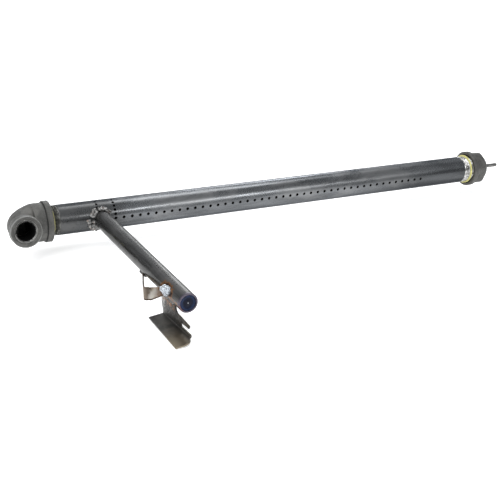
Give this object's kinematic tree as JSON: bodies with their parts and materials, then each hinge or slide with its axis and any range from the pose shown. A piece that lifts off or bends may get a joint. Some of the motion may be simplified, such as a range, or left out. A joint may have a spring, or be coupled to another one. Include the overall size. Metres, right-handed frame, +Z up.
{
  "type": "pipe gas burner",
  "caption": "Straight ported pipe gas burner with a reducing inlet elbow, pinned end cap, welded flash tube, strap and slotted pilot bracket.",
  "frame": {"origin": "on the main pipe's axis, at the shoulder of the locating pin, where the pin's weld cone ends", "axes": "+X along the main pipe towards the locating pin's free end, -Y along the flash tube away from the pipe and the way the port row faces, +Z up"},
  "size_m": [0.6694, 0.2889, 0.0566],
  "materials": {
    "pipe_steel": "black mill scale with a faint blue cast, soft sheen",
    "cast_fitting": "fine sand-cast grain, dull grey black",
    "thread_sealant": "dried yellow-cream thread sealant",
    "pin_steel": "plain drawn rod, slightly oxidised",
    "weld_metal": "rippled weld bead, dark oxide",
    "bright_weld": "bright rippled weld bead with blue tint",
    "tube_steel": "dark welded tube, fine drawn texture",
    "heat_tinted_steel": "blue and purple heat tint",
    "strap_steel": "warm heat-tinted strip with brown edges",
    "bracket_steel": "oiled sheet steel, brown towards its edge"
  },
  "bodies": {
    "root": {"main_pipe": "pipe_steel", "inlet_elbow": "cast_fitting", "elbow_sealant": "thread_sealant", "end_cap": "cast_fitting", "cap_sealant": "thread_sealant", "locating_pin": "pin_steel", "pin_weld": "weld_metal", "flash_tube": "tube_steel", "tube_plug": "heat_tinted_steel", "root_weld_side": "weld_metal", "root_weld_shoulder": "weld_metal", "root_weld_top": "weld_metal", "pilot_strap": "strap_steel", "strap_weld_front": "bright_weld", "strap_weld_back": "weld_metal", "pilot_bracket": "bracket_steel", "bracket_weld": "weld_metal"}
  },
  "joints": []
}
